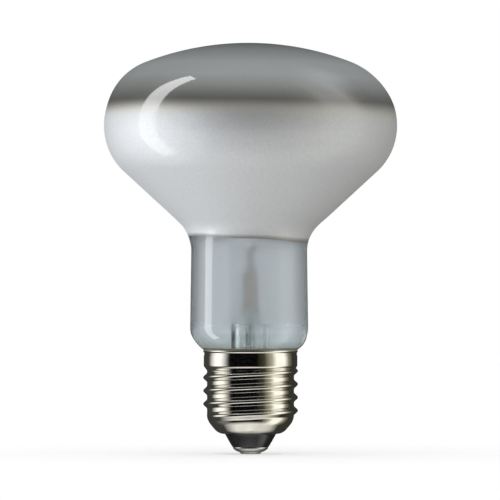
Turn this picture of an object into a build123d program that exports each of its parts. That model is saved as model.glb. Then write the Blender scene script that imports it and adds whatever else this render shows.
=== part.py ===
from build123d import *
import os
from math import acos, atan, cos, degrees, radians, sin, tan

# Reflector bulb with a 27 mm screw cap, in millimetres.
# The origin is the middle of the contact's flat end, and +Z runs up the lamp axis to the face.

# Screw cap, a shell of thin plated brass
rim_height = 28.0
lip_overhang = 0.13
lip_height = 0.4
lip_slope_height = 0.25
skirt_radius = 12.87
skirt_length = 3.2
skirt_step_height = 1.5
shell_wall = 0.3
shell_bottom_height = 5.5
shell_hole_radius = 7.2
curl_radius = 4.5
curl_angle = 40.0
curl_edge_radius = 3.5

# Knuckle thread rolled into the shell, right-handed
thread_diameter = 26.05
thread_root_diameter = 23.9
thread_pitch = 3.629
thread_end_rise = 0.31
thread_fade_turns = 0.22
thread_start_angle = -110.0
thread_start_drop = 0.05
thread_crest_width = 0.5
thread_flank_angle = 38.0
thread_sunk_depth = 0.15

# Glass envelope, built up from the cap's rim
bulb_diameter = 80.5
crown_radius = 78.5
shoulder_radius = 18.7
bowl_radius = 17.0
cone_half_angle = 47.4
neck_blend_radius = 10.4
neck_base_radius = 16.2
neck_length = 20.6
neck_flare_angle = 0.8
base_shoulder_radius = 7.5
base_turn_angle = 58.0
rim_gap = 0.31
seal_neck_clearance = 0.6
seal_depth = 8.5
glass_wall = 0.8

# Reflector film inside the bowl
film_thickness = 0.1
film_rise_over_equator = 5.3
film_rise_over_neck = 3.0

# Black glass insulator, and the contact under it
insulator_depth = 2.9
insulator_collar_radius = 7.0
insulator_base_radius = 4.95
contact_seat_height = 1.9
contact_radius = 4.85
contact_edge_height = 0.3
contact_bulge = 0.16
contact_face_radius = 3.2
contact_face_height = 0.55
eyelet_radius = 1.3
eyelet_wall = 0.3
eyelet_length = 2.4
solder_flat_radius = 2.4
solder_plug_length = 1.2

# Capping cement and the solder on the rim's far side
cement_bead_inset = 0.05
cement_bead_lean = 0.3
cement_bead_height = 0.75
rim_solder_radius = 0.7
rim_solder_thickness = 0.15

# Glass stem
flare_radius = 5.3
flare_wall = 0.9
flare_bell_height = 5.5
flare_length = 16.0
pinch_blend_length = 5.5
pinch_length = 9.0
pinch_thickness = 4.2
pinch_width = 10.4
pinch_corner_radius = 1.3
pinch_root_length = 1.0
exhaust_radius = 1.3
exhaust_wall = 0.5
exhaust_clearance = 0.2
exhaust_tip_drop = 3.1
exhaust_tip_length = 1.6
vent_radius = 0.6
vent_rise = 2.0
arbor_radius = 1.4
button_radius = 2.2
button_edge_height = 1.2
button_height = 3.2

# Wires
lead_spacing = 5.8
inner_lead_radius = 0.4
inner_lead_rise = 4.5
inner_lead_post = 6.0
seal_wire_radius = 0.3
seal_wire_tail = 0.8
contact_lead_radius = 0.2
contact_lead_slant = 4.1
contact_lead_standoff = 1.0
rim_lead_radius = 0.1
rim_lead_drop = 2.1
rim_lead_entry = 0.6
wire_clearance = 0.02

# Filament, hung as straight runs of coil between its supports
filament_drop = 18.2
filament_ring_radius = 7.0
filament_gap_angle = 90.0
coil_radius = 0.5
support_count = 3
support_radius = 0.15
support_root_radius = 0.9
support_hook_length = 1.2


def line(length):
    return ("line", length, 0.0)


def arc(radius, turn):
    return ("arc", radius, turn)


def on_section(radius, height):
    return Vector(radius, 0, height)


def trace(start, heading, moves, inset=0.0):
    """Draw an outline in the XZ plane from moves, with an inset to the right of travel."""
    edges = []
    place = on_section(*start)
    for kind, size, turn in moves:
        ahead = on_section(cos(radians(heading)), sin(radians(heading)))
        right = on_section(sin(radians(heading)), -cos(radians(heading)))
        if kind == "line":
            end = place + ahead * size
            edges.append(Edge.make_line(place + right * inset, end + right * inset))
        else:
            reach = size if turn < 0 else -size
            centre = place + right * reach
            spokes = [right.rotate(Axis.Y, -turn * share) for share in (0, 0.5, 1)]
            edges.append(Edge.make_three_point_arc(*[centre - spoke * (reach - inset) for spoke in spokes]))
            end = centre - spokes[-1] * reach
        place = end
        heading += turn
    return edges


def between(outside, inside):
    """Revolve the band between two outlines that run side by side."""
    start = Edge.make_line(inside[0] @ 0, outside[0] @ 0)
    end = Edge.make_line(outside[-1] @ 1, inside[-1] @ 1)
    return revolve(Face(Wire(outside + [end] + inside + [start])), Axis.Z)


def filled(outline):
    """Revolve an outline together with all that it encloses."""
    first = outline[0] @ 0
    last = outline[-1] @ 1
    low = on_section(0, last.Z)
    high = on_section(0, first.Z)
    closing = [Edge.make_line(last, low), Edge.make_line(low, high)]
    if first != high:
        closing.append(Edge.make_line(high, first))
    return revolve(Face(Wire(outline + closing)), Axis.Z)


def turned(*corners):
    """Revolve a polygon given as radius and height."""
    return revolve(Face(Wire.make_polygon([on_section(*corner) for corner in corners])), Axis.Z)


def rod(radius, bottom, top, x=0.0, y=0.0):
    """An upright round rod between two heights."""
    return Pos(x, y, bottom) * Cylinder(radius, top - bottom, align=(Align.CENTER, Align.CENTER, Align.MIN))


def wire_along(path, radius):
    """A round wire along a path, with mitred corners where the path has them."""
    section = Plane(path @ 0, z_dir=path % 0) * Circle(radius)
    return sweep(section, path, transition=Transition.RIGHT)


# Shell outline, from the lip down to the hole for the insulator
lip_radius = skirt_radius + lip_overhang
thread_root_radius = thread_root_diameter / 2
thread_height = (thread_diameter - thread_root_diameter) / 2
skirt_bore_radius = skirt_radius - shell_wall
root_bore_radius = thread_root_radius - shell_wall
curl = radians(curl_angle)
curl_start_drop = curl_radius * (1 - cos(curl))
curl_edge_run = curl_edge_radius * cos(curl)
curl_length = (thread_root_radius - curl_start_drop - curl_edge_run - shell_hole_radius) / sin(curl)
curl_height = curl_radius * sin(curl) + curl_length * cos(curl) + curl_edge_radius * (1 - sin(curl))
curl_top_height = shell_bottom_height + curl_height
skirt_bottom_height = rim_height - lip_height - lip_slope_height - skirt_length
root_top_height = skirt_bottom_height - skirt_step_height
thread_start_height = curl_top_height - thread_start_drop
thread_turns = (root_top_height + thread_end_rise - thread_start_height) / thread_pitch
skirt_bore_bottom = skirt_bottom_height + shell_wall
root_bore_top = root_top_height + shell_wall


def make_shell_core():
    """The cap's outside as one turned body, without its thread."""
    corners = [
        on_section(lip_radius, rim_height),
        on_section(lip_radius, rim_height - lip_height),
        on_section(skirt_radius, rim_height - lip_height - lip_slope_height),
        on_section(skirt_radius, skirt_bottom_height),
        on_section(thread_root_radius, root_top_height),
    ]
    skirt = [Edge.make_line(a, b) for a, b in zip(corners, corners[1:])]
    moves = [
        line(root_top_height - curl_top_height),
        arc(curl_radius, -curl_angle),
        line(curl_length),
        arc(curl_edge_radius, curl_angle - 90),
    ]
    return filled(skirt + trace((thread_root_radius, root_top_height), -90, moves))


def make_shell_bore():
    """The room inside the cap: skirt bore, root bore, and the seat of the insulator."""
    return turned(
        (0, rim_height),
        (skirt_bore_radius, rim_height),
        (skirt_bore_radius, skirt_bore_bottom),
        (root_bore_radius, root_bore_top),
        (root_bore_radius, curl_top_height),
        (shell_hole_radius, shell_bottom_height + shell_wall),
        (shell_hole_radius, shell_bottom_height),
        (0, shell_bottom_height),
    )


def make_thread():
    """The helical ridge, which sinks into the wall over a short fade at each end."""
    foot_radius = thread_root_radius - thread_sunk_depth
    crest_radius = thread_root_radius + thread_height
    crest_half = thread_crest_width / 2
    foot_half = crest_half + (crest_radius - foot_radius) * tan(radians(thread_flank_angle))
    corners = [
        on_section(foot_radius, -foot_half),
        on_section(crest_radius, -crest_half),
        on_section(crest_radius, crest_half),
        on_section(foot_radius, foot_half),
    ]
    section = Face(Wire.make_polygon(corners))
    thread_length = thread_pitch * thread_turns
    ridge_path = Edge.make_helix(thread_pitch, thread_length, thread_root_radius)
    ridge = sweep(section, ridge_path, is_frenet=True)
    fade_length = thread_pitch * thread_fade_turns
    fade_cone = atan((thread_height + thread_sunk_depth) / fade_length)
    fade_path = Edge.make_helix(
        thread_pitch / cos(fade_cone), fade_length, thread_root_radius, angle=-degrees(fade_cone)
    )
    fade = sweep(section, fade_path, is_frenet=True)
    upper_fade = Pos(0, 0, thread_length) * Rot(0, 0, 360 * thread_turns) * fade
    lower_fade = Rot(180, 0, 0) * fade
    return Pos(0, 0, thread_start_height) * Rot(0, 0, thread_start_angle) * (ridge + upper_fade + lower_fade)


def make_cap_shell():
    return make_shell_core() + make_thread() - make_shell_bore()


# Envelope outline, from the middle of the face down to the seal
bulb_radius = bulb_diameter / 2
half = radians(cone_half_angle)
flare = radians(neck_flare_angle)
base_turn = radians(base_turn_angle)
face_turn = acos((bulb_radius - shoulder_radius) / (crown_radius - shoulder_radius))
tuck_radius = neck_base_radius - base_shoulder_radius * (cos(flare) - cos(base_turn))
tuck_rise = (rim_gap - (skirt_bore_radius - tuck_radius) * cos(base_turn)) / sin(base_turn)
tuck_height = rim_height + tuck_rise
neck_base_height = tuck_height + base_shoulder_radius * (sin(base_turn) + sin(flare))
neck_top_height = neck_base_height + neck_length * cos(flare)
neck_top_radius = neck_base_radius - neck_length * sin(flare)
cone_low_radius = neck_top_radius + neck_blend_radius * (cos(flare) - cos(half))
cone_low_height = neck_top_height + neck_blend_radius * (sin(flare) + sin(half))
cone_high_radius = bulb_radius - bowl_radius * (1 - cos(half))
cone_length = (cone_high_radius - cone_low_radius) / sin(half)
equator_height = cone_low_height + cone_length * cos(half) + bowl_radius * sin(half)
shoulder_top_height = equator_height + shoulder_radius * sin(face_turn)
crown_height = shoulder_top_height + crown_radius * (1 - sin(face_turn))
seal_neck_radius = root_bore_radius - seal_neck_clearance
seal_height = rim_height - seal_depth


def envelope_outline(inset):
    moves = [
        arc(crown_radius, degrees(face_turn) - 90),
        arc(shoulder_radius, -degrees(face_turn)),
        arc(bowl_radius, -cone_half_angle),
        line(cone_length),
        arc(neck_blend_radius, cone_half_angle + neck_flare_angle),
        line(neck_length),
        arc(base_shoulder_radius, -neck_flare_angle - base_turn_angle),
    ]
    outline = trace((0, crown_height), 0, moves, inset)
    tuck = outline[-1] @ 1
    end_radius = seal_neck_radius - inset
    tuck_end = on_section(end_radius, tuck.Z - (tuck.X - end_radius) / tan(base_turn))
    outline.append(Edge.make_line(tuck, tuck_end))
    outline.append(Edge.make_line(tuck_end, on_section(end_radius, seal_height)))
    return outline


def make_envelope():
    """One blown bulb: domed face, reflector bowl, neck, and the seal that the cap hides."""
    return between(envelope_outline(0), envelope_outline(glass_wall))


def make_reflector_coating():
    """Aluminium film on the inside of the bowl, from near the face down to the neck."""
    film = between(envelope_outline(glass_wall), envelope_outline(glass_wall + film_thickness))
    return film & rod(bulb_radius, neck_top_height + film_rise_over_neck, equator_height + film_rise_over_equator)


# Insulator, contact and solder, stacked under the shell
insulator_top_height = shell_bottom_height + insulator_depth
seat_slope = (root_bore_radius - shell_hole_radius) / (curl_top_height - shell_bottom_height - shell_wall)
insulator_top_radius = shell_hole_radius + (insulator_depth - shell_wall) * seat_slope
eyelet_bore_radius = eyelet_radius - eyelet_wall
solder_top_height = contact_face_height + solder_plug_length


def make_cap_insulator():
    """Black glass cast into the shell's curled end, with a hole for the eyelet."""
    return turned(
        (eyelet_radius, contact_seat_height),
        (insulator_base_radius, contact_seat_height),
        (insulator_collar_radius, shell_bottom_height),
        (shell_hole_radius, shell_bottom_height),
        (shell_hole_radius, shell_bottom_height + shell_wall),
        (insulator_top_radius, insulator_top_height),
        (eyelet_radius, insulator_top_height),
    )


def make_contact_plate():
    """Brass contact with a rounded edge, and an eyelet that grips the insulator's hole."""
    edge_low = on_section(contact_radius, contact_seat_height - contact_edge_height)
    face_edge = on_section(contact_face_radius, contact_face_height)
    outward = (face_edge - edge_low).normalized().rotate(Axis.Y, -90)
    bulge = (edge_low + face_edge) / 2 + outward * contact_bulge
    corners = [
        face_edge,
        on_section(eyelet_bore_radius, contact_face_height),
        on_section(eyelet_bore_radius, contact_seat_height + eyelet_length),
        on_section(eyelet_radius, contact_seat_height + eyelet_length),
        on_section(eyelet_radius, contact_seat_height),
        on_section(contact_radius, contact_seat_height),
        edge_low,
    ]
    sides = [Edge.make_line(a, b) for a, b in zip(corners, corners[1:])]
    rounded = Edge.make_three_point_arc(edge_low, bulge, face_edge)
    return revolve(Face(Wire(sides + [rounded])), Axis.Z)


def make_contact_solder():
    """Solder that closes the eyelet and makes the flat end of the lamp."""
    return turned(
        (0, 0),
        (solder_flat_radius, 0),
        (contact_face_radius, contact_face_height),
        (eyelet_bore_radius, contact_face_height),
        (eyelet_bore_radius, solder_top_height),
        (0, solder_top_height),
    )


# Stem, sealed to the end of the neck
flare_tube_bottom = seal_height + flare_bell_height
pinch_start_height = seal_height + flare_length
pinch_bottom_height = pinch_start_height + pinch_blend_length
pinch_top_height = pinch_bottom_height + pinch_length
exhaust_top_height = pinch_bottom_height - pinch_root_length
cavity_top_thickness = 2 * (exhaust_radius + exhaust_clearance)
cavity_top_width = pinch_width - 2 * flare_wall
flare_bore_radius = flare_radius - flare_wall
flange_radius = seal_neck_radius - glass_wall
lead_offset = lead_spacing / 2
weld_height = exhaust_top_height - seal_wire_tail
vent_height = exhaust_top_height + vent_rise


def make_stem_flare():
    """Flare tube with its bell on the neck's end, pressed flat at the top around the wires."""
    tube = turned(
        (0, pinch_start_height),
        (flare_radius, pinch_start_height),
        (flare_radius, flare_tube_bottom),
        (flange_radius, seal_height),
        (seal_neck_radius, seal_height),
        (seal_neck_radius, seal_height - flare_wall),
        (0, seal_height - flare_wall),
    )
    round_end = Pos(0, 0, pinch_start_height) * Circle(flare_radius)
    flat_end = Pos(0, 0, pinch_bottom_height) * Ellipse(pinch_thickness / 2, pinch_width / 2)
    blend = loft([round_end, flat_end])
    pinch_section = RectangleRounded(pinch_thickness, pinch_width, pinch_corner_radius)
    pinch_foot = pinch_bottom_height - pinch_root_length
    pinch = Pos(0, 0, pinch_foot) * extrude(pinch_section, pinch_top_height - pinch_foot)
    bore = turned(
        (0, pinch_start_height),
        (flare_bore_radius, pinch_start_height),
        (flare_bore_radius, flare_tube_bottom),
        (flange_radius, seal_height - flare_wall),
        (0, seal_height - flare_wall),
    )
    round_mouth = Pos(0, 0, pinch_start_height) * Circle(flare_bore_radius)
    flat_roof = Pos(0, 0, exhaust_top_height) * Ellipse(cavity_top_thickness / 2, cavity_top_width / 2)
    cavity = bore + loft([round_mouth, flat_roof])
    stem = tube + blend + pinch - cavity
    for side in (-1, 1):
        stem -= rod(seal_wire_radius, seal_height, pinch_top_height, y=side * lead_offset)
    stem -= rod(vent_radius, exhaust_top_height, vent_height)
    return stem - Pos(0, 0, vent_height) * Rot(0, 90, 0) * Cylinder(vent_radius, pinch_thickness)


def make_exhaust_tube():
    """Thin tube on the axis, drawn to a closed tip once the bulb was pumped out."""
    tip_height = seal_height - flare_wall - exhaust_tip_drop
    bore_radius = exhaust_radius - exhaust_wall
    return turned(
        (bore_radius, exhaust_top_height),
        (exhaust_radius, exhaust_top_height),
        (exhaust_radius, tip_height + exhaust_tip_length),
        (0, tip_height),
        (0, tip_height + exhaust_wall),
        (bore_radius, tip_height + exhaust_tip_length + exhaust_wall),
    )


# Filament level and the corners where its coil hangs on leads and supports
filament_height = equator_height - filament_drop
support_height = filament_height + coil_radius + support_radius + wire_clearance
corner_step = (360 - filament_gap_angle) / (support_count + 1)
corner_angles = [filament_gap_angle / 2 + corner_step * index for index in range(support_count + 2)]


def at_ring(angle, radius, height):
    return Vector(radius * cos(radians(angle)), radius * sin(radians(angle)), height)


def make_support(angle):
    """Wire from the button out over the coil's corner, with its end turned down."""
    corner_reach = coil_radius / cos(radians(corner_step / 2))
    hook_radius = filament_ring_radius + corner_reach + support_radius + wire_clearance
    path = Polyline(
        at_ring(angle, support_root_radius, support_height),
        at_ring(angle, hook_radius, support_height),
        at_ring(angle, hook_radius, support_height - support_hook_length),
    )
    return wire_along(path, support_radius)


def make_stem_arbor():
    """Glass rod on the pinch, ending in the button that grips the supports."""
    button_bottom = support_height - button_height / 2
    button_top = support_height + button_height / 2
    arbor = turned(
        (0, pinch_top_height),
        (arbor_radius, pinch_top_height),
        (arbor_radius, button_bottom),
        (button_radius, support_height - button_edge_height / 2),
        (button_radius, support_height + button_edge_height / 2),
        (arbor_radius, button_top),
        (0, button_top),
    )
    for angle in corner_angles[1:-1]:
        arbor -= make_support(angle)
    return arbor


def make_filament():
    """The coil's outer form, in straight runs from lead to lead over the supports."""
    path = Polyline(*[at_ring(angle, filament_ring_radius, filament_height) for angle in corner_angles])
    return wire_along(path, coil_radius)


def make_inner_lead(side, angle):
    """Stiff lead from the pinch to one end of the filament."""
    post_top = filament_height - coil_radius - wire_clearance
    path = Polyline(
        (0, side * lead_offset, pinch_top_height),
        (0, side * lead_offset, pinch_top_height + inner_lead_rise),
        at_ring(angle, filament_ring_radius - inner_lead_radius, post_top - inner_lead_post),
        at_ring(angle, filament_ring_radius - inner_lead_radius, post_top),
    )
    return wire_along(path, inner_lead_radius)


def make_seal_wire(side):
    """Wire that the pinch is pressed around, with a tail below the glass."""
    return rod(seal_wire_radius, weld_height, pinch_top_height, y=side * lead_offset)


def make_contact_lead():
    """Lead from the front seal wire down to the contact's solder."""
    centre_height = insulator_top_height + contact_lead_standoff
    path = Polyline(
        (0, -lead_offset, weld_height),
        (0, -lead_offset, centre_height + contact_lead_slant),
        (0, 0, centre_height),
        (0, 0, solder_top_height),
    )
    return wire_along(path, contact_lead_radius)


# The rim lead's way out, midway between the glass and the lip
half_gap = rim_gap / 2
pass_radius = skirt_bore_radius - half_gap * cos(base_turn)
pass_height = rim_height + half_gap * sin(base_turn)
rim_lead_end_height = pass_height + (lip_radius - pass_radius) / tan(base_turn)


def make_rim_lead():
    """Lead from the back seal wire, under the bell and up beside the neck, out over the lip."""
    turn_height = seal_height - flare_wall - rim_lead_drop
    gap_radius = (seal_neck_radius + root_bore_radius) / 2
    path = Polyline(
        (0, lead_offset, weld_height),
        (0, lead_offset, turn_height),
        (0, gap_radius, turn_height),
        (0, gap_radius, skirt_bore_bottom),
        (0, skirt_bore_radius - half_gap - rim_lead_radius, rim_height - rim_lead_entry),
        (0, pass_radius, pass_height),
        (0, lip_radius, rim_lead_end_height),
    )
    return wire_along(path, rim_lead_radius)


def make_capping_cement():
    """Cement between the neck and the skirt, with a bead on the lip and a slot for the rim lead."""
    bead_radius = lip_radius - cement_bead_inset
    bead_top = rim_height + cement_bead_height
    blank = turned(
        (flange_radius, skirt_bore_bottom),
        (skirt_bore_radius, skirt_bore_bottom),
        (skirt_bore_radius, rim_height),
        (bead_radius, rim_height),
        (bead_radius - cement_bead_lean, bead_top),
        (flange_radius, bead_top),
    )
    slot_width = 2 * (rim_lead_radius + wire_clearance)
    slot = Box(slot_width, bulb_radius, crown_height, align=(Align.CENTER, Align.MIN, Align.MIN))
    return blank - filled(envelope_outline(0)) - slot


def make_rim_solder():
    """Solder spot on the lip's outer edge, over the end of the rim lead."""
    spot = Rot(-90, 0, 0) * Cylinder(rim_solder_radius, 2 * rim_solder_thickness)
    spot_height = rim_lead_end_height + rim_lead_radius - rim_solder_radius
    spot = Pos(0, lip_radius, spot_height) * spot
    return spot - rod(lip_radius, 0, crown_height) - make_rim_lead()


pieces = {
    "envelope": make_envelope(),
    "reflector_coating": make_reflector_coating(),
    "cap_shell": make_cap_shell(),
    "cap_insulator": make_cap_insulator(),
    "contact_plate": make_contact_plate(),
    "contact_solder": make_contact_solder(),
    "capping_cement": make_capping_cement(),
    "rim_solder": make_rim_solder(),
    "stem_flare": make_stem_flare(),
    "exhaust_tube": make_exhaust_tube(),
    "stem_arbor": make_stem_arbor(),
    "seal_wire_front": make_seal_wire(-1),
    "seal_wire_back": make_seal_wire(1),
    "inner_lead_front": make_inner_lead(-1, corner_angles[-1]),
    "inner_lead_back": make_inner_lead(1, corner_angles[0]),
    "contact_lead": make_contact_lead(),
    "rim_lead": make_rim_lead(),
    "filament": make_filament(),
}
for number, angle in enumerate(corner_angles[1:-1], start=1):
    pieces[f"filament_support_{number}"] = make_support(angle)

os.makedirs("parts", exist_ok=True)
for name, piece in pieces.items():
    export_step(piece, f"parts/{name}.step")
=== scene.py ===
from math import acos, ceil, cos, floor, pi, radians, sin, tan

import bpy
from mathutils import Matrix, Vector


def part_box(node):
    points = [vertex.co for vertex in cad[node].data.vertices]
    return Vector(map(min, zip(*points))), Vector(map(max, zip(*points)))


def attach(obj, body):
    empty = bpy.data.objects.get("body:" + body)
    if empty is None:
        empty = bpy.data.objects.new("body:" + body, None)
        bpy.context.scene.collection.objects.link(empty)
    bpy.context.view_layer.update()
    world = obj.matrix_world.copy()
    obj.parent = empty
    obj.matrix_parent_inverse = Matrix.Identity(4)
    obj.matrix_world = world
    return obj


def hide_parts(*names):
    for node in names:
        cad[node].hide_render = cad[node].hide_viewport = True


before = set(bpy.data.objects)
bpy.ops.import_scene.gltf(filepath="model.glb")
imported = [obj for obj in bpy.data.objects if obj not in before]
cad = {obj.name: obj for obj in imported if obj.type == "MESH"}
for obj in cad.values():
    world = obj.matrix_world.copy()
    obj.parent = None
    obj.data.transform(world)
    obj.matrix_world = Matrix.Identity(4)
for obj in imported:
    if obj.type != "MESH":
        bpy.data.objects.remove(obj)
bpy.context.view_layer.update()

# Envelope: one bulb of blown soda glass, with its face, bowl and neck in one thin wall.
# Its inside is frosted down to the foot of the neck, and the bowl is silvered behind the glass.
# It is turned as one closed wall, and each zone of that wall has its own finish.
bulb_radius = 0.04025
crown_radius = 0.0785
shoulder_radius = 0.0187
bowl_radius = 0.017
cone_half_angle = radians(47.4)
neck_blend_radius = 0.0104
neck_base_radius = 0.0162
neck_length = 0.0206
neck_flare_angle = radians(0.8)
base_shoulder_radius = 0.0075
base_turn_angle = radians(58)
seal_neck_radius = 0.01105
glass_wall = 0.0008
foot_top = 0.0344
cement_line = 0.0288
film_edge_height = 0.0588
film_edge_tilt = 0.001
film_edge_waves, film_edge_wave = 5, 0.12
film_edge_reach = 0.006
neck_sway, crown_sway = -0.00038, -0.00062
neck_sway_bottom, neck_sway_rise = 0.0295, 0.004
neck_sway_top, neck_sway_fall = 0.066, 0.008
crown_sway_bottom, crown_sway_rise = 0.094, 0.013
outline_step = 0.0005
wall_segments = 132
on_axis = 1e-6
sharp_edge = radians(50)


def right_of(heading):
    return Vector((sin(heading), -cos(heading)))


def trace(start, heading, moves, inset=0.0, step=outline_step):
    """Points of radius and height along moves of a size and a turn, inset to the right of travel."""
    place = Vector(start)
    points = []
    for size, turn in moves:
        side = right_of(heading)
        if turn == 0:
            ahead = Vector((cos(heading), sin(heading)))
            count = ceil(size / step)
            points += [place + ahead * size * n / count + side * inset for n in range(count)]
            place = place + ahead * size
        else:
            reach = size if turn < 0 else -size
            centre = place + side * reach
            count = ceil(size * abs(turn) / step)
            points += [centre - right_of(heading + turn * n / count) * (reach - inset) for n in range(count)]
            heading += turn
            place = centre - right_of(heading) * reach
    return points + [place + right_of(heading) * inset]


def lathe(name, outline, segments, bands=(), form=None, sway=None):
    """A closed solid turned from an outline that runs down its outside and up its inside."""
    points = []
    rings = []
    for index, place in enumerate(outline):
        ring = []
        for turn in range(1 if place[0] < on_axis else segments):
            angle = 2 * pi * turn / segments
            radius, height = form(index, angle) if form else place
            ring.append(len(points))
            points.append((radius * cos(angle) + (sway(height) if sway else 0), radius * sin(angle), height))
        rings.append(ring)
    faces = []
    finish_of_face = []
    for index, ring in enumerate(rings):
        after = rings[(index + 1) % len(rings)]
        if len(ring) == len(after) == 1:
            continue
        for turn in range(segments):
            there = turn + 1
            corners = [ring[turn % len(ring)], after[turn % len(after)],
                       after[there % len(after)], ring[there % len(ring)]]
            faces.append(list(dict.fromkeys(corners)))
            finish_of_face.append(bands[index] if bands else 0)
    mesh = bpy.data.meshes.new(name)
    mesh.from_pydata(points, [], faces)
    mesh.polygons.foreach_set("material_index", finish_of_face)
    mesh.shade_smooth()
    mesh.set_sharp_from_angle(angle=sharp_edge)
    piece = bpy.data.objects.new(name, mesh)
    bpy.context.scene.collection.objects.link(piece)
    return piece


def envelope_outline(inset):
    """The wall from the crown down to the seal, at a depth below its outside."""
    neck_top_radius = neck_base_radius - neck_length * sin(neck_flare_angle)
    face_turn = acos((bulb_radius - shoulder_radius) / (crown_radius - shoulder_radius))
    cone_low_radius = neck_top_radius + neck_blend_radius * (cos(neck_flare_angle) - cos(cone_half_angle))
    cone_high_radius = bulb_radius - bowl_radius * (1 - cos(cone_half_angle))
    moves = [
        (crown_radius, face_turn - pi / 2),
        (shoulder_radius, -face_turn),
        (bowl_radius, -cone_half_angle),
        ((cone_high_radius - cone_low_radius) / sin(cone_half_angle), 0),
        (neck_blend_radius, cone_half_angle + neck_flare_angle),
        (neck_length, 0),
        (base_shoulder_radius, -neck_flare_angle - base_turn_angle),
    ]
    seal_end, crown = (corner.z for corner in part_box("envelope"))
    points = trace((0, crown), 0, moves, inset)
    seal_radius = seal_neck_radius - inset
    tuck = points[-1]
    tuck_end = tuck.y - (tuck.x - seal_radius) / tan(base_turn_angle)
    return points + [Vector((seal_radius, tuck_end)), Vector((seal_radius, seal_end))]


outer_wall = envelope_outline(0)
inner_wall = [
    inside if inside.y > foot_top else Vector((outside.x - glass_wall, outside.y))
    for inside, outside in zip(envelope_outline(glass_wall), outer_wall)]
glass_outline = outer_wall + inner_wall[::-1]
bowl_zone, neck_zone, cemented_zone = range(3)


def zone_at(height):
    if height > film_edge_height:
        return bowl_zone
    return neck_zone if height > cement_line else cemented_zone


glass_bands = [
    zone_at(min(place.y, after.y))
    for place, after in zip(glass_outline, glass_outline[1:] + glass_outline[:1])]


def askew(wall, row, angle):
    """A wall's rows near the film's lower edge run askew with it, and the rest stay level."""
    nearness = max(0, 1 - abs(wall[row].y - film_edge_height) / film_edge_reach)
    lift = film_edge_tilt * (cos(angle - pi) + film_edge_wave * cos(film_edge_waves * angle)) * nearness
    shifted_row = row - lift / outline_step
    low = floor(shifted_row)
    return wall[low].lerp(wall[min(low + 1, len(wall) - 1)], shifted_row - low)


def wall_form(index, angle):
    if index < len(outer_wall):
        return askew(outer_wall, index, angle)
    return askew(inner_wall, len(glass_outline) - 1 - index, angle)


def eased(share):
    share = min(max(share, 0), 1)
    return share * share * (3 - 2 * share)


def blown_sway(height):
    """Blown glass is never quite true: the neck and the crown stand a little to one side."""
    neck_start = eased((height - neck_sway_bottom) / neck_sway_rise)
    neck_end = eased((neck_sway_top - height) / neck_sway_fall)
    crown_share = eased((height - crown_sway_bottom) / crown_sway_rise)
    return neck_sway * neck_start * neck_end + crown_sway * crown_share


envelope = lathe("envelope_wall", glass_outline, wall_segments, glass_bands, wall_form, blown_sway)


def mark_rows(name, values):
    """A value for each row of the wall, which its finish can read."""
    mark = envelope.data.attributes.new(name, "FLOAT", "POINT")
    mark.data.foreach_set("value", [
        value for place, value in zip(glass_outline, values)
        for turn in range(1 if place.x < on_axis else wall_segments)])


mark_rows("inside", [float(row >= len(outer_wall)) for row in range(len(glass_outline))])
mark_rows("over_film_edge", [place.y - film_edge_height for place in glass_outline])


def add(tree, kind, inputs=None, **settings):
    """A node of that kind, with its settings, and with its inputs set or linked."""
    node = tree.nodes.new(kind)
    for name, value in settings.items():
        setattr(node, name, value)
    for name, value in (inputs or {}).items():
        if isinstance(value, bpy.types.NodeSocket):
            tree.links.new(value, node.inputs[name])
        else:
            node.inputs[name].default_value = value
    return node


def worked(tree, operation, *values, **settings):
    """The outcome of one operation on values or sockets."""
    return add(tree, "ShaderNodeMath", dict(enumerate(values)), operation=operation, **settings).outputs[0]


def spread(tree, value, low, high, to_low=0.0, to_high=1.0, kind="LINEAR"):
    """A value's way from low to high, carried over to the way from to_low to to_high."""
    return add(tree, "ShaderNodeMapRange", {
        "Value": value, "From Min": low, "From Max": high, "To Min": to_low, "To Max": to_high},
        interpolation_type=kind).outputs[0]


def blend(tree, share, colour, other):
    return add(tree, "ShaderNodeMix", {0: share, 6: colour, 7: other}, data_type="RGBA").outputs[2]


def ramp(tree, factor, stops):
    """A colour ramp through stops of a place and a colour."""
    node = add(tree, "ShaderNodeValToRGB", {"Fac": factor})
    bar = node.color_ramp.elements
    while len(bar) < len(stops):
        bar.new(1.0)
    for element, (place, colour) in zip(bar, stops):
        element.position = place
        element.color = (*colour, 1.0)
    return node.outputs["Color"]


def parts_of(tree, source, output):
    """The X, Y and Z of a vector that a node puts out."""
    vector = add(tree, source).outputs[output]
    return add(tree, "ShaderNodeSeparateXYZ", {"Vector": vector}).outputs


def marked(tree, name):
    return add(tree, "ShaderNodeAttribute", attribute_name=name).outputs["Fac"]


def finish(name, plain):
    """A material with one shader, whose plain sockets are set here."""
    material = bpy.data.materials.new(name)
    material.use_nodes = True
    shader = material.node_tree.nodes["Principled BSDF"]
    for socket, value in plain.items():
        shader.inputs[socket].default_value = value
    return material, material.node_tree, shader


def feed(tree, shader, varied):
    """Links the sockets of a shader that change over the surface."""
    for socket, value in varied.items():
        tree.links.new(value, shader.inputs[socket])


def grain_group():
    """Uneven grain over a surface, as a value between Low and High."""
    noise_low, noise_high = 0.32, 0.68
    tree = bpy.data.node_groups.new("grain", "ShaderNodeTree")
    for name, value in (("Size", 0.001), ("Low", 0.0), ("High", 1.0)):
        tree.interface.new_socket(name, in_out="INPUT", socket_type="NodeSocketFloat").default_value = value
    tree.interface.new_socket("Value", in_out="OUTPUT", socket_type="NodeSocketFloat")
    given = add(tree, "NodeGroupInput").outputs
    place = add(tree, "ShaderNodeTexCoord").outputs["Object"]
    scale = worked(tree, "DIVIDE", 1.0, given["Size"])
    noise = add(tree, "ShaderNodeTexNoise", {
        "Vector": place, "Scale": scale, "Detail": 4.0, "Roughness": 0.6})
    grained = spread(tree, noise.outputs[0], noise_low, noise_high, given["Low"], given["High"])
    add(tree, "NodeGroupOutput", {"Value": grained})
    return tree


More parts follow.
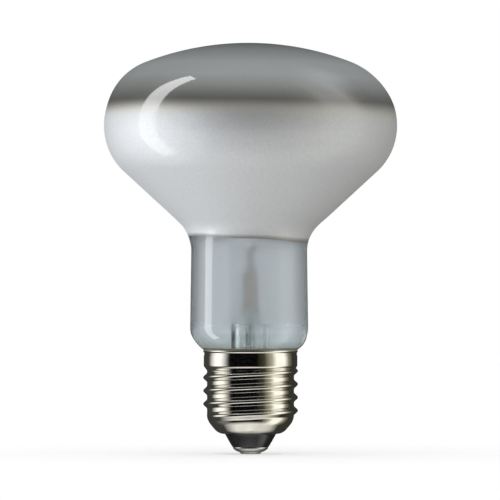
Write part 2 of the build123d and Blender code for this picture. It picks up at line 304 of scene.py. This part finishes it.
grain = grain_group()


def grain_of(tree, size, low, high):
    node = add(tree, "ShaderNodeGroup", node_tree=grain)
    for name, value in (("Size", size), ("Low", low), ("High", high)):
        node.inputs[name].default_value = value
    return node.outputs["Value"]


def mottled(tree, size, dark, light):
    """A colour that wanders between dark and light with the grain."""
    return ramp(tree, grain_of(tree, size, low=0.0, high=1.0), [(0.0, dark), (1.0, light)])


def height_of(tree, low, high):
    """The surface's height as a share of the way from low to high."""
    return spread(tree, parts_of(tree, "ShaderNodeTexCoord", "Object")["Z"], low, high)


def shaded(tree, colour, value):
    """A colour made lighter or darker by a value around 1."""
    return add(tree, "ShaderNodeVectorMath", {0: colour, 1: value}, operation="MULTIPLY").outputs[0]


film_edge_lean, film_edge_rise = 0.015, 0.4
film_edge_high, film_edge_low = 0.0960, 0.0913
# Painted shade: toward its upper edge the silvered bowl is painted warmer and darker.
film_top_shade_start, film_top_shade_full = 0.0895, 0.0945
# Painted shade: a dark rim is painted along the film's lower edge at the neck.
film_rim_low, film_rim_high = 0.0002, 0.0014
film_colour = (0.665, 0.675, 0.685, 1)
film_top_painted_shade = (0.62, 0.60, 0.57, 1)
film_rim_painted_shade = (0.35, 0.34, 0.32, 1)
# Painted shade: the face's frosted glass is painted grey, with a painted shadow in a dark band along the
# film's upper edge and painted shade darker toward the crown.
frost_low, frost_high = 0.095, 0.113
face_shade_stops = (
    (0.0955, (0.118, 0.120, 0.110)),
    (0.0972, (0.150, 0.154, 0.147)),
    (0.0994, (0.212, 0.222, 0.216)),
    (0.1025, (0.275, 0.292, 0.292)),
    (0.1060, (0.275, 0.292, 0.292)),
    (0.1098, (0.200, 0.213, 0.212)),
    (0.1128, (0.120, 0.128, 0.127)),
)
frost_gloss, film_gloss = 1.0, 0.27
glossy_facing, dull_facing, grazing_gloss = 0.33, 0.62, 0.03
frost_roughness, film_roughness = 0.42, 0.745
face_finish, tree, shader = finish("silvered_and_frosted_glass", {
    "Coat Roughness": 0.02, "Coat IOR": 1.85, "Specular IOR Level": 0.03})
spot = parts_of(tree, "ShaderNodeTexCoord", "Object")
lean = worked(tree, "MULTIPLY_ADD", spot["X"], -film_edge_rise, film_edge_lean)
level = worked(tree, "MULTIPLY_ADD", spot["X"], lean, spot["Z"])
film_share = spread(tree, level, film_edge_high, film_edge_low, kind="SMOOTHSTEP")
# The face's colour is painted shade, ramped by height.
face_painted_shade = ramp(tree, spread(tree, level, frost_low, frost_high), [
    ((height - frost_low) / (frost_high - frost_low), colour) for height, colour in face_shade_stops])
# Painted shade: the film darkens toward its upper edge.
toward_film_top = spread(tree, level, film_top_shade_start, film_top_shade_full, kind="SMOOTHSTEP")
# Painted shade: the film is painted darker along its lower edge.
clear_of_rim_shade = spread(tree, marked(tree, "over_film_edge"), film_rim_low, film_rim_high, kind="SMOOTHSTEP")
silvered_colour_and_shade = blend(tree, clear_of_rim_shade, film_rim_painted_shade, blend(tree, toward_film_top, film_colour, film_top_painted_shade))
zone_colour = blend(tree, film_share, face_painted_shade, silvered_colour_and_shade)
gloss = spread(tree, film_share, 0.0, 1.0, frost_gloss, film_gloss)
facing = add(tree, "ShaderNodeLayerWeight", {"Blend": 0.5}).outputs["Facing"]
fading = spread(tree, facing, glossy_facing, dull_facing, 1.0, grazing_gloss)
zone_roughness = spread(tree, film_share, 0.0, 1.0, frost_roughness, film_roughness)
feed(tree, shader, {
    "Base Color": shaded(tree, zone_colour, grain_of(tree, size=0.0006, low=0.97, high=1.03)),
    "Metallic": film_share,
    "Coat Weight": worked(tree, "MULTIPLY", gloss, fading),
    "Roughness": worked(tree, "MULTIPLY", zone_roughness, grain_of(tree, size=0.0008, low=0.95, high=1.05))})


def tint_glass(tree, colour, density):
    """Glass that takes more light the longer the way through it."""
    absorbed = add(tree, "ShaderNodeVolumeAbsorption", {"Color": colour, "Density": density})
    tree.links.new(absorbed.outputs[0], tree.nodes["Material Output"].inputs["Volume"])


clear_foot, frost_foot, frost_full = 0.0290, 0.0318, 0.0372
# The neck's tint is partly the glass's own faint tint and partly painted shade: greyer overall and darker
# toward its foot.
neck_tints_and_painted_shade = (
    (0.0, (0.52, 0.56, 0.54)),
    (0.12, (0.56, 0.60, 0.60)),
    (0.26, (0.61, 0.66, 0.675)),
    (1.0, (0.67, 0.705, 0.725)),
)
neck_finish, tree, shader = finish("neck_glass", {"Transmission Weight": 1.0, "IOR": 1.5})
neck_tint_and_shade = ramp(tree, height_of(tree, clear_foot, frost_full), neck_tints_and_painted_shade)
inner_frost = worked(tree, "MULTIPLY", height_of(tree, frost_foot, frost_full), marked(tree, "inside"))
feed(tree, shader, {
    "Base Color": shaded(tree, neck_tint_and_shade, grain_of(tree, size=0.0006, low=0.985, high=1.015)),
    "Roughness": worked(tree, "MULTIPLY", inner_frost, grain_of(tree, size=0.0007, low=0.36, high=0.42))})
tint_glass(tree, colour=(0.80, 0.86, 0.88, 1), density=60.0)

# Where the glass lies on the cement, the cement is painted much darker than its own colour, as painted shade.
cemented_finish, tree, shader = finish("glass_on_cement_in_painted_shade", {"Coat Weight": 1.0, "Coat Roughness": 0.03})
feed(tree, shader, {
    "Base Color": mottled(tree, size=0.0012, dark=(0.10, 0.115, 0.07), light=(0.19, 0.21, 0.14)),
    "Roughness": grain_of(tree, size=0.0008, low=0.5, high=0.7)})
for material in (face_finish, neck_finish, cemented_finish):
    envelope.data.materials.append(material)
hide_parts("envelope")
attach(envelope, "root")

# Screw cap: a shell of thin brass with a bright nickel plating, which is drawn and then rolled.
# The knuckle thread is rolled into its wall, and its upper end is a plain skirt with a small lip.
# The lower end is curled in round the insulator.
mm = 0.001
rim_height = 0.028
lip_radius = 0.013
lip_form = (
    (-0.3, 0.52), (-0.12, 0.52), (-0.05, 0.48), (-0.01, 0.4), (0, 0.3), (0, 0.15), (-0.02, 0.07),
    (-0.06, 0.0), (-0.14, -0.11), (-0.22, -0.2), (-0.265, -0.25), (-0.285, -0.31), (-0.28, -0.5),
    (-0.2, -0.95))
lip_wear_low, lip_wear_high, lip_wear_roughness = 0.0002, 0.0004, 0.45
shell_wall = 0.0003
skirt_radius = 0.01287
skirt_top, skirt_bottom = 0.0267, 0.02415
skirt_edge, step_start = 0.0005, 0.0002
root_radius = 0.01195
root_top = 0.02265
bore_top, bore_rim = 0.02795, 0.02803
curl_top = 0.01085
curl_radius = 0.0045
curl_angle = radians(40)
curl_edge_radius = 0.0035
shell_hole_radius = 0.0072
shell_bottom = 0.0055
crest_radius = 0.013025
thread_pitch = 0.003629
thread_start_angle = radians(-110)
thread_start_height, thread_end_height = 0.0108, 0.02296
thread_fade = 0.22
ridge_half_width = 0.00145
step_rows = 14
thread_row, curl_step = 0.0001, 0.0002
shell_segments = 240

skirt_outline = [Vector((lip_radius, rim_height)) + Vector(place) * mm for place in lip_form]
skirt_outline += [Vector((skirt_radius, skirt_top)), Vector((skirt_radius, skirt_bottom + skirt_edge))]
step_top = skirt_bottom + step_start
for row in range(step_rows + 1):
    share = row / step_rows
    skirt_outline.append(Vector((
        skirt_radius + (root_radius - skirt_radius) * eased(share),
        step_top + (root_top - step_top) * share)))
thread_rows = ceil((root_top - curl_top) / thread_row)
root_outline = [
    Vector((root_radius, root_top + (curl_top - root_top) * row / thread_rows))
    for row in range(1, thread_rows)]
curl_end_radius = root_radius - curl_radius * (1 - cos(curl_angle))
curl_run = curl_end_radius - curl_edge_radius * cos(curl_angle) - shell_hole_radius
curl_moves = [
    (curl_radius, -curl_angle), (curl_run / sin(curl_angle), 0), (curl_edge_radius, curl_angle - pi / 2)]
curl_outline = trace((root_radius, curl_top), -pi / 2, curl_moves, step=curl_step)
bore_outline = [
    Vector((shell_hole_radius, shell_bottom + shell_wall)),
    Vector((root_radius - shell_wall, curl_top)),
    Vector((root_radius - shell_wall, root_top + shell_wall)),
    Vector((skirt_radius - shell_wall, skirt_bottom + shell_wall)),
    Vector((skirt_radius - shell_wall, bore_top)),
    Vector((lip_radius - shell_wall, bore_rim))]
shell_outline = skirt_outline + root_outline + curl_outline + bore_outline
threaded_rows = range(len(skirt_outline) - step_rows, len(shell_outline) - len(bore_outline))


def thread_form(index, angle):
    """The wall's rounded ridge, which winds up to the right and sinks into the wall at both ends."""
    radius, height = shell_outline[index]
    if index not in threaded_rows:
        return radius, height
    turned = (angle - thread_start_angle) / (2 * pi)
    climbed = (height - thread_start_height) / thread_pitch
    turn = round(climbed - turned)
    away = abs(climbed - turned - turn) * thread_pitch / ridge_half_width
    if away >= 1:
        return radius, height
    along = turned + turn
    turns = (thread_end_height - thread_start_height) / thread_pitch
    fade = eased(along / thread_fade + 1) * eased((turns - along) / thread_fade + 1)
    ridge = (crest_radius - root_radius) * fade * (1 + cos(pi * away)) / 2
    return max(radius, min(radius, root_radius) + ridge), height


cap_shell = lathe("cap_shell_wall", shell_outline, shell_segments, form=thread_form)
plating, tree, shader = finish("nickel_plated_brass", {"Metallic": 1.0})
worn_lip = height_of(tree, rim_height + lip_wear_low, rim_height + lip_wear_high)
polished = grain_of(tree, size=0.0007, low=0.06, high=0.11)
feed(tree, shader, {
    "Base Color": mottled(tree, size=0.003, dark=(0.70, 0.67, 0.58), light=(0.80, 0.78, 0.72)),
    "Roughness": worked(tree, "MULTIPLY_ADD", worn_lip, lip_wear_roughness, polished)})
cap_shell.data.materials.append(plating)
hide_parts("cap_shell")
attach(cap_shell, "root")

# Insulator: black glass, pressed hot into the curled end of the shell.
# It is glossy, with a drawn-in cone that ends at the contact.
eyelet_radius = 1.3
insulator_top, insulator_end = 8.4, 1.9
insulator_collar = ((9.6, insulator_top), (7.2, 5.8), (7.2, 5.52), (7.05, 5.5), (6.98, 5.4))
insulator_cone = (
    (6.55, 4.6), (6.0, 3.6), (5.5, 2.75), (5.15, 2.2), (5.0, 1.98), (4.9, insulator_end))
end_segments = 96


def turned_outline(*places):
    """An outline from places of a radius and a height in millimetres."""
    return [Vector(place) * mm for place in places]


insulator_outline = turned_outline(
    (eyelet_radius, insulator_top), *insulator_collar, *insulator_cone, (eyelet_radius, insulator_end))
insulator = lathe("insulator_glass_ring", insulator_outline, end_segments)
black_glass, tree, shader = finish("black_glass", {"IOR": 1.52})
feed(tree, shader, {
    "Base Color": mottled(tree, size=0.002, dark=(0.006, 0.006, 0.007), light=(0.013, 0.012, 0.014)),
    "Roughness": grain_of(tree, size=0.001, low=0.06, high=0.12)})
insulator.data.materials.append(black_glass)
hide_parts("cap_insulator")
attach(insulator, "root")

# Contact: a pressed brass plate with a rounded edge, held by its eyelet in the insulator.
# Solder closes the eyelet and makes the flat end of the lamp.
eyelet_bore = 1.0
eyelet_top = 4.3
plate_bottom = 0.55
plate_edge = (
    (4.75, insulator_end), (4.84, 1.85), (4.85, 1.75), (4.83, 1.6), (4.7, 1.4), (4.4, 1.12), (4.0, 0.85),
    (3.6, 0.66), (3.2, plate_bottom))
contact_outline = turned_outline(
    (eyelet_bore, eyelet_top), (eyelet_radius, eyelet_top), (eyelet_radius, insulator_end), *plate_edge,
    (eyelet_bore, plate_bottom))
contact = lathe("contact_disc", contact_outline, end_segments)
tinned_brass, tree, shader = finish("tinned_brass", {"Metallic": 1.0})
feed(tree, shader, {
    "Base Color": mottled(tree, size=0.0015, dark=(0.50, 0.48, 0.43), light=(0.66, 0.65, 0.62)),
    "Roughness": grain_of(tree, size=0.0005, low=0.25, high=0.4)})
contact.data.materials.append(tinned_brass)
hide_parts("contact_plate")
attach(contact, "root")

solder_top = 1.75
solder_button = ((3.15, plate_bottom), (3.1, 0.5), (2.9, 0.28), (2.65, 0.1), (2.4, 0.0))
solder_outline = turned_outline(
    (0, solder_top), (eyelet_bore, solder_top), (eyelet_bore, plate_bottom), *solder_button, (0, 0.0))
solder = lathe("contact_solder_button", solder_outline, end_segments)
dull_solder, tree, shader = finish("dull_solder", {"Metallic": 1.0})
dimple_height = grain_of(tree, size=0.0008, low=0.0, high=1.0)
dimples = add(tree, "ShaderNodeBump", {"Height": dimple_height, "Strength": 0.3, "Distance": 0.0001})
feed(tree, shader, {
    "Base Color": mottled(tree, size=0.0012, dark=(0.36, 0.36, 0.36), light=(0.56, 0.56, 0.55)),
    "Roughness": grain_of(tree, size=0.0006, low=0.35, high=0.55),
    "Normal": dimples.outputs[0]})
solder.data.materials.append(dull_solder)
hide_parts("contact_solder")
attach(solder, "root")

# Reflector film: aluminium evaporated on the inside of the bowl, from near the face to the neck.
# Behind the frosted glass it is satin, and its bare side faces the filament.
film_thickness = 0.0001
film_clearance = 0.00002
film_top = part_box("reflector_coating")[1].z
film_front = envelope_outline(glass_wall + film_clearance)
film_back = envelope_outline(glass_wall + film_thickness)
film_rows = [row for row, place in enumerate(film_front) if film_edge_height < place.y < film_top]
film_loop = [(film_front, row) for row in film_rows] + [(film_back, row) for row in film_rows[::-1]]


def film_form(index, angle):
    return askew(*film_loop[index], angle)


film_outline = [wall[row] for wall, row in film_loop]
film = lathe("reflector_film_shell", film_outline, wall_segments, form=film_form, sway=blown_sway)
film_finish, tree, shader = finish("evaporated_aluminium", {"Metallic": 1.0})
feed(tree, shader, {
    "Base Color": mottled(tree, size=0.004, dark=(0.78, 0.79, 0.80), light=(0.86, 0.87, 0.88)),
    "Roughness": grain_of(tree, size=0.001, low=0.3, high=0.4)})
film.data.materials.append(film_finish)
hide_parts("reflector_coating")
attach(film, "root")

# Stem: a clear glass tube that is pressed flat around the wires, with the thin tube on its axis
# through which the bulb was pumped out, and the rod whose button grips the filament's supports.
# The stem's flared foot is melted to the neck, and the thin tube's end is drawn to a tip.
tube_radius = 0.0053
tube_bore = 0.0044
tube_top, tube_bottom = 0.0355, 0.025
pinch_foot = 0.041
pinch_half_thickness, pinch_half_width = 0.0021, 0.0052
pinch_squareness = 5
pinch_edge = 0.0005
pinch_edge_share, pinch_edge_rows = 0.2, 4
cavity_top = 0.04
cavity_half_thickness, cavity_half_width = 0.0015, 0.0043
cavity_squareness = 2
seal_height = 0.0195
flange_radius = 0.01025
stem_step = 0.00025
stem_segments = 128
exhaust_radius, exhaust_bore = 0.0013, 0.0008
exhaust_clearance = 0.00003
tip_length, tip_wall, tip_rows = 0.0016, 0.0005, 8
tip_bore, tip_bore_start, bore_start = 0.7 * exhaust_bore, 0.0009, 0.0021
exhaust_step = 0.001
exhaust_segments = 64
flange_bottom, pinch_top = (corner.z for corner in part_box("stem_flare"))


def stretch(start, end, step=stem_step):
    """Points from start up to end, without end itself."""
    start, end = Vector(start), Vector(end)
    count = ceil((end - start).length / step)
    return [start.lerp(end, n / count) for n in range(count)]


edge_width = tube_radius * pinch_edge_share
flat_radius = tube_radius - edge_width
stem_outside = [Vector((0, pinch_top))]
stem_outside += stretch((edge_width, pinch_top), (flat_radius, pinch_top))
stem_outside += [
    Vector((flat_radius + edge_width * sin(turn), pinch_top - pinch_edge * (1 - cos(turn))))
    for turn in (pi / 2 * row / pinch_edge_rows for row in range(pinch_edge_rows))]
stem_outside += stretch((tube_radius, pinch_top - pinch_edge), (tube_radius, tube_bottom))
stem_outside += stretch((tube_radius, tube_bottom), (flange_radius, seal_height))
stem_outside += [Vector((flange_radius, seal_height)), Vector((seal_neck_radius, seal_height)),
                 Vector((seal_neck_radius, flange_bottom))]
stem_inside = stretch((flange_radius, flange_bottom), (tube_bore, tube_bottom))
stem_inside += stretch((tube_bore, tube_bottom), (tube_bore, cavity_top))
stem_inside += [Vector((tube_bore, cavity_top)), Vector((tube_bore / 2, cavity_top)), Vector((0, cavity_top))]
stem_outline = stem_outside + stem_inside


def pressed_reach(angle, round_radius, half_thickness, half_width, pressed, squareness):
    """How far a tube reaches at an angle, on the way from round to a flat bar."""
    power = 2 + (squareness - 2) * pressed
    thickness = round_radius + (half_thickness - round_radius) * pressed
    width = round_radius + (half_width - round_radius) * pressed
    return ((abs(cos(angle)) / thickness) ** power + (abs(sin(angle)) / width) ** power) ** (-1 / power)


def stem_form(index, angle):
    radius, height = stem_outline[index]
    if index < len(stem_outside):
        pressed = eased((height - tube_top) / (pinch_foot - tube_top))
        reach = pressed_reach(
            angle, tube_radius, pinch_half_thickness, pinch_half_width, pressed, pinch_squareness)
        return radius / tube_radius * reach, height
    pressed = eased((height - tube_top) / (cavity_top - tube_top))
    reach = pressed_reach(
        angle, tube_bore, cavity_half_thickness, cavity_half_width, pressed, cavity_squareness)
    return radius / tube_bore * reach, height


stem = lathe("stem_flare_glass", stem_outline, stem_segments, form=stem_form)
exhaust_top = cavity_top - exhaust_clearance
exhaust_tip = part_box("exhaust_tube")[0].z
exhaust_outline = stretch(
    (exhaust_radius, exhaust_top), (exhaust_radius, exhaust_tip + tip_length), exhaust_step)
exhaust_outline += [
    Vector((exhaust_radius * cos(turn), exhaust_tip + tip_length * (1 - sin(turn))))
    for turn in (pi / 2 * row / tip_rows for row in range(tip_rows))]
exhaust_outline += [Vector((0, exhaust_tip)), Vector((0, exhaust_tip + tip_wall)),
                    Vector((tip_bore, exhaust_tip + tip_bore_start))]
exhaust_outline += stretch(
    (exhaust_bore, exhaust_tip + bore_start), (exhaust_bore, exhaust_top), exhaust_step)
exhaust_outline += [Vector((exhaust_bore, exhaust_top))]
exhaust = lathe("exhaust_tube_glass", exhaust_outline, exhaust_segments)


def refinish(material, *names):
    """Solids that keep their CAD form get a finish."""
    for name in names:
        cad[name].data.materials.clear()
        cad[name].data.materials.append(material)


stem_finish, tree, shader = finish("stem_glass", {
    "Base Color": (0.93, 0.95, 0.95, 1), "Transmission Weight": 1.0, "IOR": 1.5,
    "Coat Weight": 1.0, "Coat IOR": 1.8})
feed(tree, shader, {"Roughness": grain_of(tree, size=0.003, low=0.0, high=0.02)})
tint_glass(tree, colour=(0.76, 0.54, 0.31, 1), density=30.0)
refinish(stem_finish, "stem_arbor")
for piece, node in ((stem, "stem_flare"), (exhaust, "exhaust_tube")):
    piece.data.materials.append(stem_finish)
    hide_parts(node)
    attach(piece, "root")

# Wires: copper-clad seal wires in the pinch, nickel leads, molybdenum supports and the tungsten coil.
# All are drawn wire. The leads and seal wires are welded end to end.
def drawn_wire(name, dark, light, low, high):
    """A wire's finish, with a roughness between low and high."""
    material, tree, shader = finish(name, {"Metallic": 1.0})
    feed(tree, shader, {
        "Base Color": mottled(tree, 0.0008, dark, light),
        "Roughness": grain_of(tree, 0.0005, low, high)})
    return material


refinish(drawn_wire("copper_clad_wire", (0.36, 0.17, 0.10), (0.55, 0.28, 0.17), 0.3, 0.45),
         "seal_wire_front", "seal_wire_back")
refinish(drawn_wire("nickel_wire", (0.42, 0.41, 0.38), (0.58, 0.57, 0.54), 0.25, 0.4),
         "inner_lead_front", "inner_lead_back", "contact_lead", "rim_lead")
refinish(drawn_wire("molybdenum_wire", (0.28, 0.28, 0.29), (0.42, 0.42, 0.43), 0.3, 0.45),
         "filament_support_1", "filament_support_2", "filament_support_3")
refinish(drawn_wire("coiled_tungsten", (0.12, 0.12, 0.13), (0.24, 0.24, 0.25), 0.4, 0.6), "filament")

# Capping cement: a baked resin cement that fills the gap between neck and skirt.
# A thin bead of it shows on the lip, and the rim lead's solder spot sits at the back.
cement, tree, shader = finish("capping_cement", {})
feed(tree, shader, {
    "Base Color": mottled(tree, size=0.0006, dark=(0.40, 0.38, 0.26), light=(0.56, 0.54, 0.42)),
    "Roughness": grain_of(tree, size=0.0004, low=0.7, high=0.9)})
refinish(cement, "capping_cement")
refinish(dull_solder, "rim_solder")

# Camera: a long lens a little above the cap's rim, level, as in the photograph.
# The shift brings the whole lamp into the square frame.
view_distance = 1.2
view_height = 0.0366
frame_width = 0.13736
frame_centre_height = 0.056
axis_offset = 0.00015
lens = bpy.data.cameras.new("view")
lens.sensor_width = 36
lens.lens = lens.sensor_width * view_distance / frame_width
lens.shift_x = -axis_offset / frame_width
lens.shift_y = (frame_centre_height - view_height) / frame_width
camera = bpy.data.objects.new("view", lens)
camera.location = (0, -view_distance, view_height)
camera.rotation_euler = (pi / 2, 0, 0)
bpy.context.scene.collection.objects.link(camera)
bpy.context.scene.camera = camera
bpy.context.scene.view_settings.view_transform = "Standard"

# Light: a tall strip at the left gives the long highlights on glass, and a panel there lights the cap.
# Soft panels low at the left, below in front and overhead light the bulb, and a weak lamp its inside.
# The camera sees none of them, and of the panels only the tall strip shows inside the glass.
daylight_energy, daylight_size, daylight_height = 0.012, 0.01, 0.1
cool_white, sky_white = (0.96, 1.0, 1.05), (0.95, 1.0, 1.06)


def soft_panel(name, place, aim, size, radiance, softness, pieces, tint=(1, 1, 1), within=0):
    """A glowing panel with soft edges that shows only as a reflection in some pieces.

    Rays that have gone through glass don't see it, but where within is 1, those that were also
    reflected in the glass do.
    """
    lamp = bpy.data.lights.new(name, "AREA")
    lamp.shape = "RECTANGLE"
    lamp.size, lamp.size_y = size
    lamp.energy = radiance * pi * size[0] * size[1]
    lamp.color = tint
    lamp.use_nodes = True
    tree = lamp.node_tree
    spot = parts_of(tree, "ShaderNodeNewGeometry", "Parametric")
    strength = 1.0
    for axis, soft in zip("XY", softness):
        from_edge = worked(tree, "PINGPONG", spot[axis], 0.5)
        strength = worked(tree, "MULTIPLY", strength, spread(tree, from_edge, 0.0, soft, kind="SMOOTHSTEP"))
    ray = add(tree, "ShaderNodeLightPath").outputs
    straight_through = worked(
        tree, "MULTIPLY_ADD", ray["Glossy Depth"], -within, ray["Is Transmission Ray"], use_clamp=True)
    strength = worked(tree, "MULTIPLY", strength, worked(tree, "SUBTRACT", 1.0, straight_through))
    tree.links.new(strength, tree.nodes["Emission"].inputs["Strength"])
    panel = bpy.data.objects.new(name, lamp)
    panel.location = place
    panel.rotation_euler = (Vector(place) - Vector(aim)).to_track_quat("Z", "Y").to_euler()
    panel.visible_camera = False
    panel.visible_diffuse = False
    receivers = bpy.data.collections.new(name + "_shows_in")
    for piece in pieces:
        receivers.objects.link(piece)
    panel.light_linking.receiver_collection = receivers
    bpy.context.scene.collection.objects.link(panel)


soft_panel("left_strip", place=(-0.6, -0.034, 0.35), aim=(0, -0.034, 0.35), size=(0.22, 1.75), radiance=4.0,
           softness=(0.12, 0.01), pieces=(envelope, insulator), within=1)
soft_panel("left_panel", place=(-0.7, -0.3, -0.35), aim=(0, -0.3, -0.35), size=(1.7, 1.6), radiance=1.03,
           softness=(0.3, 0.2), pieces=(envelope,), tint=cool_white)
soft_panel("cap_strip", place=(-0.6, -0.03, 0.02), aim=(0, -0.03, 0.02), size=(0.9, 0.8), radiance=1.35,
           softness=(0.5, 0.3), pieces=(cap_shell, contact, solder))
soft_panel("white_table", place=(0, -0.45, -0.1), aim=(0, -0.45, 0.1), size=(2.4, 0.75), radiance=0.85,
           softness=(0.4, 0.35), pieces=(envelope,))
soft_panel("overhead", place=(0.45, 0.2, 0.72), aim=(0, 0, 0.1), size=(0.8, 0.6), radiance=0.85,
           softness=(0.5, 0.5), pieces=(envelope,), tint=sky_white)
daylight = bpy.data.lights.new("inside_daylight", "POINT")
daylight.energy = daylight_energy
daylight.shadow_soft_size = daylight_size
inside_daylight = bpy.data.objects.new("inside_daylight", daylight)
inside_daylight.location = (0, 0, daylight_height)
bpy.context.scene.collection.objects.link(inside_daylight)

# Room: dark on the camera's side and behind, with a broad warm panel at the right and a pale ground.
# It shows only in reflections. All other rays see white, also through glass.
# Rays reflected inside the glass see a little of the room, and most of it at the left at eye level.
ring_shades = (
    (-180, (0.04, 0.04, 0.04)),
    (-125, (0.06, 0.06, 0.055)),
    (-108, (0.15, 0.15, 0.15)),
    (-96, (0.2, 0.2, 0.2)),
    (-84, (0.2, 0.2, 0.2)),
    (-72, (0.1, 0.1, 0.1)),
    (-60, (0.0, 0.0, 0.0)),
    (15, (0.0, 0.0, 0.001)),
    (35, (0.06, 0.055, 0.035)),
    (55, (0.5, 0.49, 0.4)),
    (68, (1.35, 1.35, 1.3)),
    (92, (1.35, 1.35, 1.3)),
    (108, (0.3, 0.29, 0.23)),
    (125, (0.04, 0.04, 0.03)),
    (180, (0.04, 0.04, 0.04)),
)
ground_shades = (
    (-180, (0.5, 0.5, 0.5)),
    (-90, (1.0, 1.0, 1.0)),
    (0, (1.0, 1.0, 0.98)),
    (90, (0.8, 0.8, 0.78)),
    (180, (0.5, 0.5, 0.5)),
)
ceiling_shade = (0.5, 0.5, 0.5, 1)
white_backdrop = (1, 1, 1, 1)
ground_start, ground_full = -0.72, -0.92
ceiling_start, ceiling_full = 0.6, 0.95
dim_left, dim_right = -0.1, 0.25
dim_left_share, dim_right_share = 0.14, 0.02
aside_start, aside_full = -0.02, -0.15
eye_level_end, eye_level_full, eye_level_share = 0.3, 0.1, 0.85
room = bpy.data.worlds.new("room")
bpy.context.scene.world = room
room.use_nodes = True
tree = room.node_tree
tree.nodes.clear()
ways = parts_of(tree, "ShaderNodeTexCoord", "Generated")
bearing = worked(tree, "ARCTAN2", ways["X"], worked(tree, "MULTIPLY", ways["Y"], -1.0))
around = spread(tree, bearing, -pi, pi)


def shades_around(shades):
    """A ramp round the room, through shades at bearings in degrees from the camera's side."""
    return ramp(tree, around, [((angle + 180) / 360, colour) for angle, colour in shades])


below = spread(tree, ways["Z"], ground_start, ground_full)
above = spread(tree, ways["Z"], ceiling_start, ceiling_full)
lower_room = blend(tree, below, shades_around(ring_shades), shades_around(ground_shades))
whole_room = blend(tree, above, lower_room, ceiling_shade)
ray = add(tree, "ShaderNodeLightPath").outputs
outside = worked(tree, "SUBTRACT", ray["Is Glossy Ray"], ray["Is Transmission Ray"], use_clamp=True)
dimmed = spread(tree, ways["X"], dim_left, dim_right, dim_left_share, dim_right_share)
mirrored = worked(tree, "MULTIPLY_ADD", ray["Glossy Depth"], dimmed, outside)
aside = spread(tree, ways["X"], aside_start, aside_full)
slope = worked(tree, "ABSOLUTE", ways["Z"])
at_eye_level = spread(tree, slope, eye_level_end, eye_level_full, to_high=eye_level_share)
dark_side = worked(tree, "MULTIPLY", aside, at_eye_level)
roomward = worked(tree, "MULTIPLY_ADD", dark_side, ray["Glossy Depth"], mirrored, use_clamp=True)
seen_room = blend(tree, roomward, white_backdrop, whole_room)
background = add(tree, "ShaderNodeBackground", {"Color": seen_room, "Strength": 1.0})
add(tree, "ShaderNodeOutputWorld", {"Surface": background.outputs[0]})

# Floor: a plain white sweep that the lamp stands on, which keeps a faint shadow.
# It is pale grey paper, lifted to white where the camera sees it, also through glass.
half_floor = 3.0
paper_colour = (0.6, 0.6, 0.6, 1)
paper_lift = 0.42
floor_mesh = bpy.data.meshes.new("floor")
floor_mesh.from_pydata([(-half_floor, -half_floor, 0), (half_floor, -half_floor, 0),
                        (half_floor, half_floor, 0), (-half_floor, half_floor, 0)], [], [(0, 1, 2, 3)])
ground = bpy.data.objects.new("floor", floor_mesh)
bpy.context.scene.collection.objects.link(ground)
paper = bpy.data.materials.new("white_paper")
paper.use_nodes = True
tree = paper.node_tree
tree.nodes.clear()
lit = add(tree, "ShaderNodeBsdfDiffuse", {"Color": paper_colour})
ray = add(tree, "ShaderNodeLightPath").outputs
seen = worked(tree, "MAXIMUM", ray["Is Camera Ray"], ray["Is Transmission Ray"])
lift = worked(tree, "MULTIPLY", seen, paper_lift)
white = add(tree, "ShaderNodeEmission", {"Color": (1, 1, 1, 1), "Strength": lift})
both = add(tree, "ShaderNodeAddShader", {0: lit.outputs[0], 1: white.outputs[0]})
add(tree, "ShaderNodeOutputMaterial", {"Surface": both.outputs[0]})
floor_mesh.materials.append(paper)
ground.visible_glossy = False
ground.visible_shadow = False
